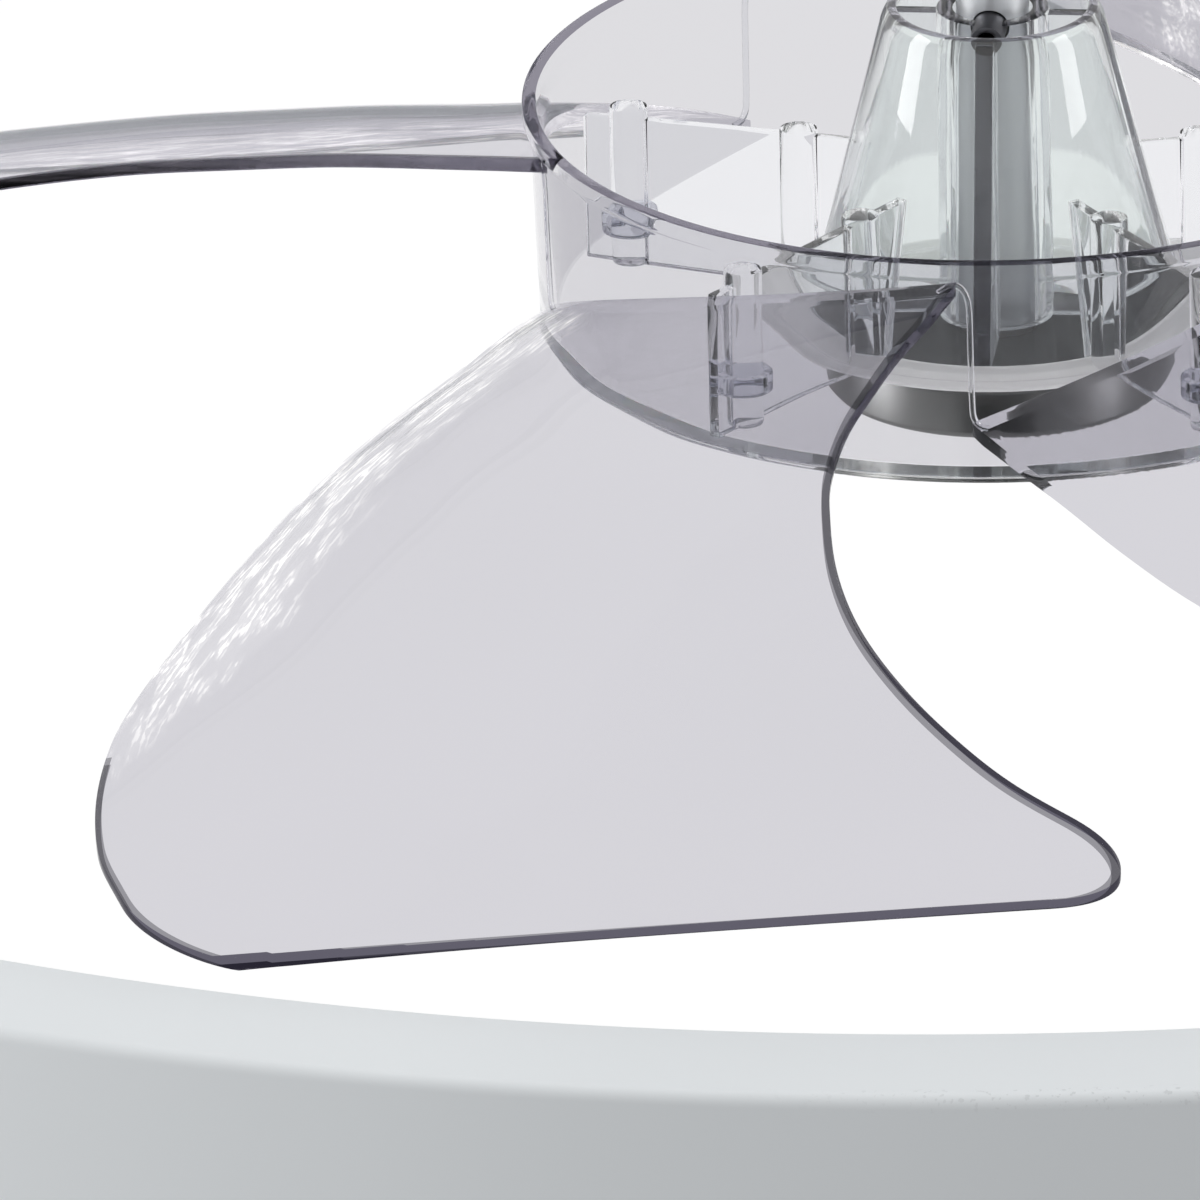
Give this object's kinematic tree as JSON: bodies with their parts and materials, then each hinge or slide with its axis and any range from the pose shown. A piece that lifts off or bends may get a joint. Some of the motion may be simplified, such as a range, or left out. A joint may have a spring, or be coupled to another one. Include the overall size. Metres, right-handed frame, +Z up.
{
  "type": "ring ceiling fan",
  "caption": "Ceiling fan with a clear one-piece bladed impeller turning on a motor shaft inside a white light ring, hung from a ceiling plate by flat arms and posts.",
  "frame": {"origin": "on the fan's axis in the ceiling plane, at the upper face of the ceiling bracket", "axes": "+Z up along the shaft, -Y towards the viewer of the picture, +X to the right"},
  "size_m": [0.52, 0.52, 0.194],
  "materials": {
    "clear_plastic": "clear, lightly tinted, polished moulding",
    "white_paint": "semi-gloss white paint",
    "shaft_steel": "ground steel",
    "zinc": "bright zinc plate",
    "chrome": "polished plating",
    "rubber": "matt rubber",
    "core_steel": "laminated steel",
    "copper": "enamelled copper wire",
    "opal": "opal plastic",
    "pale_plastic": "matt pale plastic",
    "board": "white solder mask"
  },
  "bodies": {
    "frame": {"motor_top_cover": "white_paint", "motor_bottom_cover": "white_paint", "hub_plate": "white_paint", "arm_1": "white_paint", "arm_2": "white_paint", "arm_3": "white_paint", "canopy": "white_paint", "ring_shell": "white_paint", "bearing_lower": "shaft_steel", "bearing_upper": "shaft_steel", "post_1": "shaft_steel", "post_2": "shaft_steel", "post_3": "shaft_steel", "ceiling_bracket": "zinc", "canopy_screw_1": "zinc", "canopy_screw_2": "zinc", "motor_screw_1": "zinc", "motor_screw_2": "zinc", "motor_screw_3": "zinc", "tie_stud_1": "zinc", "tie_stud_2": "zinc", "tie_stud_3": "zinc", "tie_nut_1": "zinc", "tie_nut_2": "zinc", "tie_nut_3": "zinc", "ring_nut_1": "zinc", "ring_nut_2": "zinc", "ring_nut_3": "zinc", "arm_nut_1": "chrome", "arm_nut_2": "chrome", "arm_nut_3": "chrome", "stator_core": "core_steel", "winding_lower": "copper", "winding_upper": "copper", "ring_diffuser": "opal", "terminal_block": "pale_plastic", "driver_box": "pale_plastic", "led_board": "board"},
    "rotor": {"impeller": "clear_plastic", "motor_shaft": "shaft_steel", "roll_pin": "zinc", "seat_washer": "rubber", "cap_nut": "chrome", "rotor_core": "core_steel", "magnet_ring": "core_steel"}
  },
  "joints": [
    {"name": "rotor_spin", "type": "hinge", "parent": "frame", "child": "rotor", "pos_m": [0, 0, -0.1], "axis": [0, 0, 1], "continuous": true}
  ]
}
